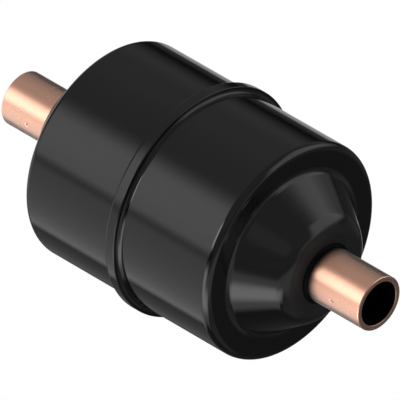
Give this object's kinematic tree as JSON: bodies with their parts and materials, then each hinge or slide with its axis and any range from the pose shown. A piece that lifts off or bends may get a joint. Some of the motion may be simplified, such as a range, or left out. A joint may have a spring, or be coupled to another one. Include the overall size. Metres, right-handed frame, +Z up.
{
  "type": "filter drier",
  "caption": "Hermetic liquid-line filter drier: gloss black drawn-steel body with stepped conical ends, a belled seam and open copper solder tubes on one axis.",
  "frame": {"origin": "centre of the body on the flow axis, half way between the two flat end faces", "axes": "+X along the flow axis towards the outlet, +Z up"},
  "size_m": [0.1352, 0.0678, 0.0678],
  "materials": {
    "black_paint": "gloss",
    "copper": "bright drawn copper",
    "spring_steel": "bright spring wire",
    "plated_steel": "zinc plated",
    "moulded_desiccant": null,
    "polyester_mat": "needled polyester"
  },
  "bodies": {
    "root": {"inlet_shell": "black_paint", "outlet_shell": "black_paint", "seam_weld": "black_paint", "inlet_tube": "copper", "outlet_tube": "copper", "inlet_braze_ring": "black_paint", "outlet_braze_ring": "black_paint", "core_spring": "spring_steel", "spring_plate": "plated_steel", "desiccant_core": "moulded_desiccant", "filter_mat": "polyester_mat", "outlet_plate": "plated_steel"}
  },
  "joints": []
}
